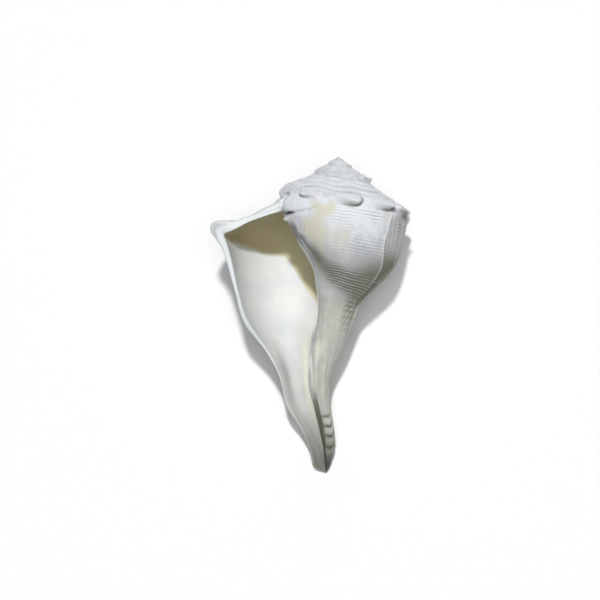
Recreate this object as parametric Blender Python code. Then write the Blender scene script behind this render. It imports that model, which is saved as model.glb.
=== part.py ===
# Knobbed sea shell with a wide flared lip and a long open canal, in one piece: the node is `shell`.
# Metres, +Z up. The shell lies on its back with the aperture up, the apex toward +Y and the canal toward -Y.
#
# The wall is one surface wound round the axis. A line from the suture over the shoulder and the body
# down to the canal is drawn at each angle of turn, and its radius and depth grow with the turn.
# Angles are in degrees of growth: 0 is the lip, -360 is one whorl earlier.
import bmesh
import bpy
import numpy as np
from mathutils import Matrix

MM = 0.001
LENGTH = 160.0

# Steps round one whorl, steps of the spire behind the last whorl, and steps of the cavity inward from
# the lip, which are twice as long past FINE_STEPS
STEPS = 60
SPIRE_STEPS = 163
CAVITY_STEPS = 32
FINE_STEPS = 30

# Growth per half turn, as exponents: radius and depth below the apex
RADIUS_GROWTH = 0.428
DEPTH_GROWTH = 0.430

# Growth line of the outer wall at seven angles: depth below the apex and radius, in mm, of seven
# landmarks: low ramp, high ramp, shoulder, upper body, body, base, neck
ANGLES = (-540, -360, -270, -180, -90, -45, 0)
LOW_RAMP = ((7.3, 10.1), (10.9, 14.9), (13.9, 19.4), (17.4, 23.4), (21.4, 28.3), (23.7, 30.8), (26.0, 32.0))
HIGH_RAMP = ((9.3, 13.9), (13.9, 22.5), (17.7, 26.2), (21.7, 30.6), (26.6, 37.3), (29.5, 41.6), (32.8, 47.4))
SHOULDER = ((11.6, 16.8), (17.9, 25.6), (22.4, 30.8), (27.2, 36.8), (33.6, 46.0), (36.4, 52.5), (38.6, 62.0))
UPPER_BODY = ((16.6, 16.6), (28.8, 25.5), (34.0, 31.0), (39.6, 36.7), (45.4, 44.2), (47.2, 49.2), (49.0, 54.9))
BODY = ((23.7, 14.6), (45.4, 16.6), (50.4, 25.4), (55.5, 32.9), (61.5, 37.6), (64.0, 43.0), (65.6, 48.2))
BASE = ((33.3, 8.1), (60.5, 7.7), (66.6, 13.6), (73.1, 18.2), (76.0, 25.0), (76.7, 34.6), (76.7, 44.6))
NECK = ((44.4, 4.6), (75.7, 3.9), (77.7, 8.8), (79.2, 15.6), (83.2, 21.0), (85.7, 29.8), (86.8, 39.8))

# Below the neck the radius is read at these depths, at eight angles
LOW_DEPTHS = (70.0, 80.0, 88.0, 96.0, 104.0, 112.0, 121.0, 132.0, 143.5, 151.5, 156.5, 160.0)
LOW_ANGLES = (-540, -400, -360, -330, -270, -180, -90, -45, 0)
LOW_RADII = (
    (3.6, 3.6, 3.6, 3.6, 3.6, 3.6, 3.6, 3.6, 3.6, 3.6, 3.6, 3.6),
    (4.0, 4.4, 5.8, 7.6, 8.6, 8.8, 8.2, 6.8, 4.8, 3.0, 1.7, 0.0),
    (4.9, 4.0, 4.9, 6.4, 6.2, 5.7, 4.5, 4.2, 3.4, 2.0, 1.2, 0.0),
    (7.0, 5.6, 5.8, 6.8, 6.8, 6.2, 5.2, 4.8, 4.1, 2.6, 1.5, 0.0),
    (11.0, 8.5, 8.3, 8.0, 7.3, 6.3, 5.3, 4.7, 4.4, 3.4, 2.2, 0.0),
    (20.4, 15.4, 13.8, 10.4, 7.4, 4.9, 4.4, 3.0, 3.3, 2.2, 1.1, 0.0),
    (32.0, 22.8, 18.2, 13.4, 11.6, 10.8, 10.0, 8.2, 6.3, 4.9, 3.6, 0.0),
    (42.0, 33.4, 28.2, 21.6, 17.2, 14.9, 13.6, 11.4, 8.5, 6.8, 5.2, 0.0),
    (47.5, 42.6, 39.0, 31.8, 25.4, 20.6, 19.1, 15.9, 10.8, 8.2, 6.9, 0.0),
)
# Landmarks below the neck, as parts of the way to the canal's end
LOW_PARTS = (0.18, 0.38, 0.60, 0.80, 0.955, 1.0)

# Where the cavity's wall meets the pillar: depth at angles inward from the lip
VALLEY_ANGLES = (-360, -270, -180, -90, -55, -40, -30, -20, -10, 0)
VALLEY_DEPTHS = (49.0, 61.0, 75.0, 86.0, 96.0, 108.0, 123.0, 138.0, 151.0, 160.0)

# The line of the axis across the view: it leans left to the neck and comes back at the canal's end.
# The canal also bends back, by CANAL_BACK at its end from CANAL_BEND down.
AXIS_DEPTHS = (0.0, 100.0, 119.0, 128.0, 138.0, 146.0, 154.0, 160.0)
AXIS_SHIFTS = (0.0, -4.5, -4.5, -2.7, -0.3, 0.5, 0.5, 0.0)
CANAL_BEND = 80.0
CANAL_BACK = 14.0

# Rows along the growth line, counted in landmarks from the suture at 0 to the canal's end at 13.
# SUTURE_ROW is where the next whorl sits down, CORNER_ROW is the inner corner of the aperture.
ROWS = (0.0, 0.7, 1.4, 2.1, 2.65, 3.0, 3.3, 3.65, 4.0, 4.35, 4.7, 5.05, 5.4, 5.75, 6.1, 6.5, 6.9,
        7.3, 7.75, 8.2, 8.65, 9.15, 9.7, 10.3, 10.9, 11.5, 12.2, 13.0)
END = 13.0
SUTURE_ROW = 6
CORNER_ROW = 8

# Wall thickness, in mm, at the landmarks: deep in the cavity and at the lip
WALL_MARKS = (0, 1, 2, 3, 4, 5, 6, 7, 8, 9, 10, 11, 12, 13)
WALL_INNER = (3.4, 3.2, 3.0, 3.0, 2.8, 2.6, 2.6, 2.6, 2.6, 2.4, 2.2, 2.0, 1.6, 0.4)
WALL_LIP = (5.6, 5.6, 6.0, 6.0, 3.2, 2.1, 1.8, 1.8, 1.8, 1.7, 1.6, 1.5, 1.2, 0.3)
# The direction inward is averaged over this many landmarks each way, so that corners stay open
WALL_EASE = 0.7

# The lip runs forward of its angle: by these degrees at these landmarks, fading inward
LEAN_MARKS = (0, 1, 2, 3, 4, 5, 6, 8, 13)
LEAN_DEG = (24.0, 17.0, 9.0, 3.0, 4.0, 5.0, 4.0, 0.0, 0.0)
LEAN_FADE_DEG = 34.0
SEAT_FADE = (4.0, 6.5)

# Knobs on the shoulder of the last whorl: angle and height in mm. Then on the spire at an even spacing,
# with their height growing with the whorl from SPIRE_KNOB_HEIGHT at the last one.
KNOBS = ((-30, 2.0), (-72, 3.9), (-114, 6.0), (-156, 4.0), (-192, 3.2), (-222, 3.6), (-252, 3.8), (-300, 3.4),
         (-348, 2.6))
SPIRE_KNOB_SPACING = 27.7
SPIRE_KNOB_HEIGHT = 3.6
KNOB_WIDTH_DEG = 9.5
KNOB_ROWS = 0.44

# Groove beside the raised edge of the inner lip, down the canal
GROOVE_DEPTH = 1.7
GROOVE_ANGLE = -311.0
RIDGE_HEIGHT = 0.7
RIDGE_ANGLE = -334.0

# The wall behind the inner lip is drawn in: radius taken off at these depths, fading round TRIM_ANGLE
TRIM_DEPTHS = (28.0, 36.0, 48.0, 61.0, 70.6, 78.7, 90.0, 104.0, 116.0, 145.0, 158.0)
TRIM_MM = (0.0, 2.0, 2.2, 2.4, 1.9, 1.1, 0.1, 0.3, 1.1, 1.2, 0.3)
TRIM_ANGLE = -338.0
TRIM_WIDTH_DEG = 30.0

# How the shell lies: turned about X, then about Y, until it rests
RECLINE_DEG = 14.08
ROLL_DEG = 8.74


def curve(x, xs, ys, slope=None):
    """Smooth line through (xs, ys): cubic pieces with slopes from the neighbours, straight beyond the ends."""
    xs = np.asarray(xs, float)
    ys = np.asarray(ys, float)
    x = np.asarray(x, float)
    d = np.diff(ys) / np.diff(xs)
    h = np.diff(xs)
    m = np.empty(len(xs))
    m[0] = d[0] if slope is None else slope
    m[-1] = d[-1]
    m[1:-1] = (d[:-1] * h[1:] + d[1:] * h[:-1]) / (h[:-1] + h[1:])
    k = np.clip(np.searchsorted(xs, x) - 1, 0, len(xs) - 2)
    u = (x - xs[k]) / h[k]
    inside = ((1 + 2 * u) * (1 - u) ** 2 * ys[k] + u * (1 - u) ** 2 * h[k] * m[k]
              + u * u * (3 - 2 * u) * ys[k + 1] + u * u * (u - 1) * h[k] * m[k + 1])
    below = ys[0] + m[0] * (x - xs[0])
    above = ys[-1] + m[-1] * (x - xs[-1])
    return np.where(x < xs[0], below, np.where(x > xs[-1], above, inside))


def landmark(marks, deg):
    """Depth and radius of one landmark at each angle: the logarithms run smoothly, and evenly on the spire."""
    depth = curve(deg, ANGLES, np.log([m[0] for m in marks]), DEPTH_GROWTH / 180.0)
    radius = curve(deg, ANGLES, np.log([m[1] for m in marks]), RADIUS_GROWTH / 180.0)
    return np.exp(depth), np.exp(radius)


def low_radius(deg, depth):
    """Radius below the neck, read between the angles for each of the depths."""
    columns = [curve(depth, LOW_DEPTHS, radii) for radii in LOW_RADII]
    table = np.array(columns)
    out = np.empty(len(deg))
    for n, angle in enumerate(deg):
        out[n] = curve(max(angle, LOW_ANGLES[0]), LOW_ANGLES, table[:, n])
    return np.maximum(out, 0.0)


def canal_end(deg):
    """Depth where the growth line stops: the canal's tip outside, the valley beside the pillar inside."""
    inward = np.clip(deg + 360.0, VALLEY_ANGLES[0], 0.0)
    return np.where(deg >= -360.0, LENGTH, curve(inward, VALLEY_ANGLES, VALLEY_DEPTHS))


def marks_at(deg):
    """All the landmarks at the angles, without the suture at 0, as depth and radius tables."""
    depths = [None]
    radii = [None]
    for marks in (LOW_RAMP, HIGH_RAMP, SHOULDER, UPPER_BODY, BODY, BASE, NECK):
        depth, radius = landmark(marks, deg)
        depths.append(depth)
        radii.append(radius)
    end = canal_end(deg)
    for part in LOW_PARTS:
        depth = depths[7] + (end - depths[7]) * part
        depths.append(depth)
        radii.append(low_radius(deg, depth))
    return depths, radii


def along(values, t, first):
    """Value at t landmarks from the suture, by a cubic through the neighbouring landmarks."""
    points = [first] + list(values[1:])
    k = min(int(t), len(points) - 2)
    u = t - k
    a = points[k]
    b = points[k + 1]
    before = points[k - 1] if k else 2 * a - b
    after = points[k + 2] if k + 2 < len(points) else 2 * b - a
    return 0.5 * (2 * a + (b - before) * u + (2 * before - 5 * a + 4 * b - after) * u * u
                  + (3 * a - 3 * b + after - before) * u ** 3)


def knob_rise(deg):
    """Height of the knobs along the shoulder: the measured ones of the last whorl, then the even ones."""
    knobs = list(KNOBS)
    angle = KNOBS[-1][0] - SPIRE_KNOB_SPACING
    while angle > -360.0 * (SPIRE_STEPS / STEPS + 1) - 40.0:
        knobs.append((angle, SPIRE_KNOB_HEIGHT * np.exp(RADIUS_GROWTH * (angle + 300.0) / 180.0)))
        angle -= SPIRE_KNOB_SPACING
    return sum(height * np.exp(-((deg - angle) / KNOB_WIDTH_DEG) ** 2) for angle, height in knobs)


def lean(deg):
    """How much of the lip's forward run is there at each angle: all at the lip, none half a turn in."""
    return np.exp(-(deg / LEAN_FADE_DEG) ** 2)


def seat_angle(deg):
    """Angle one whorl earlier at which the suture of each angle lies, with the lip's forward run."""
    return deg - 360.0 + LEAN_DEG[0] * lean(deg)


def outer_line(deg, rows=ROWS, seated=True):
    """Angle, depth and radius tables of the outside, by rows and columns, with the knobs and the groove.

    Where the lip sits on the whorl before it, the upper rows of that whorl are drawn forward to its seat.
    """
    before_d, before_r = marks_at(seat_angle(deg))
    seat = ROWS[SUTURE_ROW]
    first_d = along(before_d, seat, None)
    first_r = along(before_r, seat, None)
    angles = []
    grid_d = []
    grid_r = []
    for t in rows:
        drawn = LEAN_DEG[0] * np.clip((SEAT_FADE[1] - t) / (SEAT_FADE[1] - SEAT_FADE[0]), 0.0, 1.0)
        at = deg + seated * drawn * lean(deg + 360.0)
        depths, radii = marks_at(at)
        d = along(depths, t, first_d)
        r = along(radii, t, first_r)
        knob = knob_rise(at) * np.exp(-((t - 3.0) / KNOB_ROWS) ** 2)
        low = np.exp(-((d - 132.0) / 24.0) ** 4) * (t > 7.5)
        groove = GROOVE_DEPTH * np.exp(-((at - GROOVE_ANGLE) / 11.0) ** 2)
        ridge = RIDGE_HEIGHT * np.exp(-((at - RIDGE_ANGLE) / 9.0) ** 2)
        trim = np.interp(d, TRIM_DEPTHS, TRIM_MM) * np.exp(-((at - TRIM_ANGLE) / TRIM_WIDTH_DEG) ** 2)
        run = curve(t, LEAN_MARKS, LEAN_DEG) * lean(deg)
        angles.append(at + run)
        grid_d.append(d + 0.1 * knob)
        grid_r.append(np.maximum(r + knob + (ridge - groove) * low - trim * (d < LENGTH - 0.1), 0.0))
    return np.array(angles), np.array(grid_d), np.array(grid_r)


def place(deg, depth, radius):
    """Shell coordinates in mm from angle, depth and radius: X across, Y toward the apex, Z to the front."""
    turn = np.radians(deg)
    x = curve(depth, AXIS_DEPTHS, AXIS_SHIFTS) - radius * np.cos(turn)
    bend = np.maximum(depth - CANAL_BEND, 0.0) / (LENGTH - CANAL_BEND)
    return np.stack([x, -depth, radius * np.sin(turn) - CANAL_BACK * bend ** 2], axis=-1)


def inner_line(deg):
    """Angle, depth and radius tables of the cavity: the outside moved in by the thickness of the wall.

    Its first row ends on the corner of the aperture and its last on the pillar, a whorl earlier.
    """
    end = canal_end(deg - 360.0)
    rows = np.array(ROWS)
    fine = np.linspace(0.0, END, 131)
    ease = np.exp(-((fine[:, None] - fine[None, :]) / WALL_EASE) ** 2)
    ease /= ease.sum(axis=1, keepdims=True)
    _, fine_d, fine_r = outer_line(deg, fine, False)
    _, corner_d, corner_r = outer_line(deg - 360.0)
    run = curve(rows, LEAN_MARKS, LEAN_DEG)
    out_a = deg[None, :] + run[:, None] * lean(deg)[None, :]
    out_d = np.empty((len(rows), len(deg)))
    out_r = np.empty((len(rows), len(deg)))
    for n in range(len(deg)):
        line = np.stack([fine_d[:, n], fine_r[:, n]], axis=1)
        way = ease @ np.gradient(line, axis=0)
        way /= np.maximum(np.linalg.norm(way, axis=1, keepdims=True), 1e-9)
        mix = np.exp(deg[n] / 28.0)
        wall = mix * curve(fine, WALL_MARKS, WALL_LIP) + (1 - mix) * curve(fine, WALL_MARKS, WALL_INNER)
        inside = line + np.stack([way[:, 1], -way[:, 0]], axis=1) * wall[:, None]
        inside[8:-12] = (ease @ inside)[8:-12]
        below = np.nonzero(inside[:, 0] > end[n] - 0.5 * wall)[0]
        stop = fine[below[0]] if len(below) else END
        at = rows / END * stop
        d = np.interp(at, fine, inside[:, 0])
        r = np.interp(at, fine, inside[:, 1])
        first = np.array([corner_d[CORNER_ROW, n] - d[0], corner_r[CORNER_ROW, n] - r[0]])
        last = np.array([corner_d[-1, n] - d[-1], corner_r[-1, n] - r[-1]])
        lead = np.clip(1 - at / 1.6, 0, 1) ** 2
        tail = np.clip((at / max(stop, 1e-6) - 0.62) / 0.38, 0, 1) ** 2
        out_d[:, n] = d + first[0] * lead + last[0] * tail
        out_r[:, n] = r + first[1] * lead + last[1] * tail
    return out_a, out_d, out_r


def shell_mesh():
    """Vertices in mm and faces of the whole wall, outside, cavity, lip, inner end and apex."""
    points = []
    faces = []
    rows = len(ROWS)
    start = -(STEPS + SPIRE_STEPS)
    inner = -(STEPS + CAVITY_STEPS)
    far = list(range(-CAVITY_STEPS, -FINE_STEPS, 2))
    inward = far + list(range(-FINE_STEPS, 1))

    def add(point):
        points.append(tuple(point))
        return len(points) - 1

    turns = np.arange(start, 1)
    where = place(*outer_line(turns * 360.0 / STEPS))
    tip = add((0.0, -LENGTH, -CANAL_BACK))
    outer = {}
    for n, i in enumerate(turns):
        for j in range(rows):
            covered = i < -STEPS and j > SUTURE_ROW
            if covered and (j < CORNER_ROW or i + STEPS not in inward):
                continue
            if j == 0 and i - STEPS >= start:
                outer[i, j] = outer[i - STEPS, SUTURE_ROW]
            elif j == rows - 1 and i >= -STEPS:
                outer[i, j] = tip
            else:
                outer[i, j] = add(where[j, n])
    for i in range(start, 0):
        for j in range(rows - 1):
            if i >= -STEPS or j < SUTURE_ROW:
                faces.append([outer[i, j], outer[i + 1, j], outer[i + 1, j + 1], outer[i, j + 1]])
    for i, k in zip(inward[:-1], inward[1:]):
        for j in range(CORNER_ROW, rows - 1):
            a, b = i - STEPS, k - STEPS
            faces.append([outer[a, j], outer[b, j], outer[b, j + 1], outer[a, j + 1]])

    turns = np.array(inward)
    where = place(*inner_line(turns * 360.0 / STEPS))
    cavity = {}
    for n, i in enumerate(turns):
        for j in range(rows):
            if j == 0:
                cavity[i, j] = outer[i - STEPS, CORNER_ROW]
            elif j == rows - 1:
                cavity[i, j] = outer[i - STEPS, rows - 1]
            else:
                cavity[i, j] = add(where[j, n])
    for i, k in zip(inward[:-1], inward[1:]):
        for j in range(rows - 1):
            faces.append([cavity[i, j], cavity[i, j + 1], cavity[k, j + 1], cavity[k, j]])

    # The lip: one rounded row between the outside and the cavity
    rim = [outer[-STEPS, SUTURE_ROW + 1]]
    for j in range(1, rows - 1):
        out = np.array(points[outer[0, j]])
        within = np.array(points[cavity[0, j]])
        wide = np.linalg.norm(out - within)
        rim.append(add((out + within) / 2 + np.array([0.0, 0.0, 0.34 * wide])))
    rim.append(tip)
    for j in range(rows - 1):
        faces.append([outer[0, j], rim[j], rim[j + 1], outer[0, j + 1]])
        faces.append([rim[j], cavity[0, j], cavity[0, j + 1], rim[j + 1]])

    # The inner end of the cavity, flat across it
    loop = [cavity[-CAVITY_STEPS, j] for j in range(rows)]
    loop += [outer[inner, j] for j in range(rows - 2, CORNER_ROW, -1)]
    faces.append(loop)

    # The apex: a low dome over the first whorl
    loop = [outer[start + n, 0] for n in range(STEPS + 1)]
    loop += [outer[start, j] for j in range(SUTURE_ROW - 1, 0, -1)]
    apex = add((0.0, 0.0, 0.0))
    for n in range(len(loop)):
        faces.append([apex, loop[n], loop[(n + 1) % len(loop)]])
    return np.array(points), faces


def clean_face(face):
    """The face without vertices that follow themselves, or None when fewer than three stay."""
    kept = [v for n, v in enumerate(face) if v != face[n - 1]]
    return kept if len(set(kept)) >= 3 else None


def lay_down(points):
    """Metres, turned to the resting pose, centred on the footprint, lowest point at 0."""
    turn = Matrix.Rotation(np.radians(ROLL_DEG), 3, 'Y') @ Matrix.Rotation(np.radians(RECLINE_DEG), 3, 'X')
    laid = points @ np.array(turn).T * MM
    low = laid.min(axis=0)
    high = laid.max(axis=0)
    return laid - np.array([(low[0] + high[0]) / 2, (low[1] + high[1]) / 2, low[2]])


def material():
    """Chalky white shell."""
    made = bpy.data.materials.new("shell")
    made.use_nodes = True
    shader = made.node_tree.nodes["Principled BSDF"]
    shader.inputs["Base Color"].default_value = (0.78, 0.77, 0.72, 1.0)
    shader.inputs["Metallic"].default_value = 0.0
    shader.inputs["Roughness"].default_value = 0.5
    return made


def build():
    """Make the shell object in its own collection."""
    for old in list(bpy.data.objects):
        bpy.data.objects.remove(old)
    points, faces = shell_mesh()
    points = lay_down(points)
    bm = bmesh.new()
    verts = [bm.verts.new(point) for point in points]
    for face in faces:
        kept = clean_face(face)
        if kept:
            bm.faces.new([verts[v] for v in kept])
    bmesh.ops.triangulate(bm, faces=bm.faces[:])
    bmesh.ops.recalc_face_normals(bm, faces=bm.faces[:])
    mesh = bpy.data.meshes.new("shell")
    bm.to_mesh(mesh)
    bm.free()
    shell = bpy.data.objects.new("shell", mesh)
    shell.data.materials.append(material())
    group = bpy.data.collections.new("shell")
    bpy.context.scene.collection.children.link(group)
    group.objects.link(shell)
    mesh.shade_smooth()
    mesh.set_sharp_from_angle(angle=np.radians(50.0))
    return shell


build()
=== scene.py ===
"""Looks of a knobbed sea shell lying on its back: its surface and finish, a floor, lights and a camera."""

import bpy
import numpy as np
from bpy.props import FloatProperty, FloatVectorProperty, PointerProperty
from mathutils import Matrix, Vector


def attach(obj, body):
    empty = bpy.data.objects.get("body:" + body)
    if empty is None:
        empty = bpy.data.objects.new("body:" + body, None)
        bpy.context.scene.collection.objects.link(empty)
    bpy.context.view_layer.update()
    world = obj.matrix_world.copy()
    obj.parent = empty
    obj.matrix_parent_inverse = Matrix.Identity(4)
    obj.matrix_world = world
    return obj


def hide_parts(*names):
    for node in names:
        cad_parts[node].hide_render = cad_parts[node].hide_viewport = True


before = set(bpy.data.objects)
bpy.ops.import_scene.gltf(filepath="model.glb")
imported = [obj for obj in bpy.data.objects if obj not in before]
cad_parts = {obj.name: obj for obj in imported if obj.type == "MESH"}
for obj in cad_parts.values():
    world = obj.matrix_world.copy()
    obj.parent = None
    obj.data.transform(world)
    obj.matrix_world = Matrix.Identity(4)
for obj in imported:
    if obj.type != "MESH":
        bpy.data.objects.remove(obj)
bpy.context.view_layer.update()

bl_info = {
    "name": "Knobbed sea shell",
    "version": (1, 0, 0),
    "blender": (4, 5, 0),
    "location": "View3D > Sidebar > Shell",
    "description": "Builds a knobbed sea shell with its finish, and a plain stage to look at it",
    "category": "Object",
}

MM = 0.001
LENGTH = 160

# Columns: this many to a whorl, closer together where the front is in view. The stops are columns inward
# from the lip, with their angles below. The spire goes back by SPIRE columns and the cavity by CAVITY. The
# cavity and the pillar use every column as far as CAVITY_FINE, then every second.
WHORL = 240
COLUMN_STOPS = (0, 70, 230, 240)
COLUMN_DEG = (0, 178, 343, 360)
SPIRE = 652
CAVITY = 84
CAVITY_FINE = 24

# Growth per half turn, as exponents
RADIUS_GROWTH = 0.428
DEPTH_GROWTH = 0.430

# Landmarks of the growth line at seven angles: depth below the apex and radius, in mm
ANGLES = (-540, -360, -270, -180, -90, -45, 0)
LOW_RAMP = ((7.3, 10.1), (10.9, 14.9), (13.9, 19.4), (17.4, 23.4), (21.4, 28.3), (23.7, 30.8),
            (26, 32))
HIGH_RAMP = ((9.3, 13.9), (13.9, 22.5), (17.7, 26.2), (21.7, 30.6), (26.6, 37.3), (29.5, 41.6),
             (32.8, 47.4))
SHOULDER = ((11.6, 16.8), (17.9, 25.6), (22.4, 30.8), (27.2, 36.8), (33.6, 46), (36.4, 52.5),
            (38.6, 62))
UPPER_BODY = ((16.6, 16.6), (28.8, 25.5), (34, 31), (39.6, 36.7), (45.4, 44.2), (47.2, 49.2),
              (49, 54.9))
BODY = ((23.7, 14.6), (45.4, 16.6), (50.4, 25.4), (55.5, 32.9), (61.5, 37.6), (64, 43), (65.6, 48.2))
BASE = ((33.3, 8.1), (60.5, 7.7), (66.6, 13.6), (73.1, 18.2), (76, 25), (76.7, 34.6), (76.7, 44.6))
NECK = ((44.4, 4.6), (75.7, 3.9), (77.7, 8.8), (79.2, 15.6), (83.2, 21), (85.7, 29.8), (86.8, 39.8))

# Below the neck: radius at these depths, at nine angles
LOW_DEPTHS = (70, 80, 88, 96, 104, 112, 121, 132, 143.5, 151.5, 156.5, 160)
LOW_ANGLES = (-540, -400, -360, -330, -270, -180, -90, -45, 0)
LOW_RADII = (
    (3.6, 3.6, 3.6, 3.6, 3.6, 3.6, 3.6, 3.6, 3.6, 3.6, 3.6, 3.6),
    (4, 4.4, 5.8, 7.6, 8.6, 8.8, 8.2, 6.8, 4.8, 3, 1.7, 0),
    (4.9, 4, 4.9, 6.4, 6.2, 5.7, 4.5, 4.2, 3.4, 2, 1.2, 0),
    (7, 5.6, 5.8, 6.8, 6.8, 6.2, 5.2, 4.8, 4.1, 2.6, 1.5, 0),
    (11, 8.5, 8.3, 8, 7.3, 6.3, 5.3, 4.7, 4.4, 3.4, 2.2, 0),
    (20.4, 15.4, 13.8, 10.4, 7.4, 4.9, 4.4, 3, 3.3, 2.2, 1.1, 0),
    (32, 22.8, 18.2, 13.4, 11.6, 10.8, 10, 8.2, 6.3, 4.9, 3.6, 0),
    (42, 33.4, 28.2, 21.6, 17.2, 14.9, 13.6, 11.4, 8.5, 6.8, 5.2, 0),
    (47.5, 42.6, 39, 31.8, 25.4, 20.6, 19.1, 15.9, 10.8, 8.2, 6.9, 0),
)
LOW_PARTS = (0.18, 0.38, 0.60, 0.80, 0.955, 1)

# Depth where the cavity meets the pillar, inward from the lip
VALLEY_ANGLES = (-360, -270, -180, -90, -55, -40, -30, -20, -10, 0)
VALLEY_DEPTHS = (49, 61, 75, 86, 96, 108, 123, 138, 151, 160)

# The axis across the view, and the canal's bend to the back
AXIS_DEPTHS = (0, 100, 119, 128, 138, 146, 154, 160)
AXIS_SHIFTS = (0, -4.5, -4.5, -2.7, -0.3, 0.5, 0.5, 0)
CANAL_BEND = 80
CANAL_BACK = 14

# Rows along the growth line, in landmarks: evenly spaced between the stops, by these counts
ROW_STOPS = (0, 2.4, 3.3, 4, 5.4, 7.2, 8.6, 9.7, 12.2, 13)
ROW_COUNTS = (16, 14, 18, 50, 38, 14, 10, 54, 6)

# The rows that lie at the seat of the next whorl and at the corner of the opening, and their landmarks
SUTURE_ROW = 30
CORNER_ROW = 48
SEAT = 3.3
CORNER = 4
END = 13

# The wall's thickness in mm at landmarks, deep inside and at the lip, and how the two are mixed
WALL_MARKS = (0, 1, 2, 3, 4, 5, 6, 7, 8, 9, 10, 11, 12, 13)
WALL_INNER = (3.4, 3.2, 3, 3, 2.8, 2.6, 2.6, 2.6, 2.6, 2.4, 2.2, 2, 1.6, 0.4)
WALL_LIP = (5.6, 5.6, 6, 6, 3.2, 2.1, 1.8, 1.8, 1.8, 1.7, 1.6, 1.5, 1.2, 0.3)
WALL_EASE = 0.7
WALL_FADE_DEG = 28

# The cavity is worked out on this many even rows. It is drawn to the pillar over these landmarks at its
# upper end, and from this share of its length on at its lower end.
CAVITY_ROWS = 131
WELD_MARKS = 1.6
WELD_FROM = 0.62

# How many degrees the lip runs ahead of its growth line at landmarks, and how that fades inward
LEAN_MARKS = (0, 1, 2, 3, 4, 5, 6, 8, 13)
LEAN_DEG = (24, 17, 9, 3, 4, 5, 4, 0, 0)
LEAN_FADE_DEG = 34
SEAT_FADE = (4, 6.5)

# Knobs at the back and beside the lip: angle and height in mm. They carry the shell, so they keep the
# plain rounded form. The knobs in view are drops, steep on one side and running out on the other: angle
# and landmark of the middle, height in mm, reach in degrees and in landmarks on the steep side, how much
# longer it runs out on the other side, and the way of the steep side, across and down.
ROUND_KNOBS = ((-30, 2), (-72, 3.4), (-114, 5.4), (-156, 4), (-348, 2.4))
DROP_KNOBS = (
    (-190, 2.96, 3.2, 5.5, 0.22, 1.4, 0.6, 0.8),
    (-204, 2.78, 2.2, 4.5, 0.26, 1.2, 0.1, 0.3),
    (-220, 2.70, 5.2, 7.5, 0.34, 2, 0.7, 0.7),
    (-254, 2.74, 5.4, 7, 0.34, 2, 0.7, 0.7),
    (-302.5, 2.76, 3, 6, 0.26, 1.8, -0.5, 0.85),
    (-335, 2.90, 0.9, 5, 0.18, 1.4, 0.6, 0.8),
    (-271, 2.62, 0.7, 3.5, 0.12, 1.2, 0.7, 0.7),
    (-279, 2.74, 0.8, 3.5, 0.12, 1.2, 0.7, 0.7),
    (-285.5, 2.62, 0.8, 3.5, 0.12, 1.2, 0.7, 0.7),
)
SPIRE_KNOB_SPACING = 27.7
SPIRE_KNOB_HEIGHT = 3.7
SPIRE_KNOB_FADE = (-700, -500)
KNOB_WIDTH_DEG = 9.5
KNOB_ROWS = 0.44

# Small bells: height, then centre and width in degrees, and the same in landmarks. Painted highlights on the
# knobs' tops, pits under them in mm, and the lap's beak and pit in mm with a painted highlight on its edge.
LIGHT_SPOTS = ((0.8, -252, 6, 2.5, 0.12), (0.8, -230, 10, 2.52, 0.1), (0.64, -206, 4, 2.8, 0.12))
PITS = ((0.9, -211, 2.6, 3.03, 0.1), (1, -195, 2.8, 3.1, 0.1))
BEAK = ((2.2, -340, 13, 4.13, 0.08),)
LAP_PIT = ((0.8, -331, 4, 3.08, 0.09),)
LAP_LIGHT = ((0.9, -330, 12, 4.15, 0.11),)

# The pillar's groove and ridge, which run beside the canal, and the trim of the body's side at depths
CANAL_MIDDLE = 137
CANAL_REACH = 19
GROOVE_DEPTH = 1.7
GROOVE_ANGLE = -311
GROOVE_WIDTH_DEG = 11
RIDGE_HEIGHT = 0.7
RIDGE_ANGLE = -334
RIDGE_WIDTH_DEG = 9
TRIM_DEPTHS = (28, 36, 48, 61, 70.6, 78.7, 90, 104, 116, 145, 158)
TRIM_MM = (0, 2, 2.2, 2.4, 1.9, 1.1, 0.1, 0.3, 1.1, 1.2, 0.3)
TRIM_ANGLE = -338
TRIM_WIDTH_DEG = 30

# The resting pose: turned about X, then about Y, then shifted
RECLINE_DEG = 14.08
ROLL_DEG = 8.74
REST_SHIFT = (13.813, 75.8936, 53.6128)

# Where the raised edge of the inner lip runs, as angles at landmarks
EDGE_MARKS = (4, 4.3, 4.8, 5.3, 5.7, 6.4, 7.1, 7.8, 8.3, 8.9, 9.4, 9.9, 10.4, 11, 11.6, 12.2, 13)
EDGE_ANGLES = (-338, -338, -336, -334, -324, -316, -316, -328, -350, -373, -374, -373, -370, -372,
               -372, -366, -360)

# The lip as it is seen: shifts in mm at landmarks of its outer edge down, its inner edge up, and both in
LIP_MARKS = (0, 0.9, 1.5, 1.8, 2.05, 2.3, 2.6, 2.9, 3.2, 3.6, 4, 5, 6, 7, 8.8, 9.3, 9.6,
             9.9, 10.3, 13)
LIP_DOWN = (0, 0.3, 1, 1.5, 1.6, 1, -1, -1.6, -0.5) + (0,) * 11
LIP_UP = (2.2, 1.9, 2.1, 2.2, 1.5, 0.6, 0.1) + (0,) * 13
LIP_IN = (0,) * 5 + (0.1, 0.3, 0.8, 1.1, 1.4, 1.2, 0.6, 0.7, 0.4, 0.4, -0.4, -1, -0.8, -0.1, 0)
LIP_FADE_DEG = 30

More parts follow.
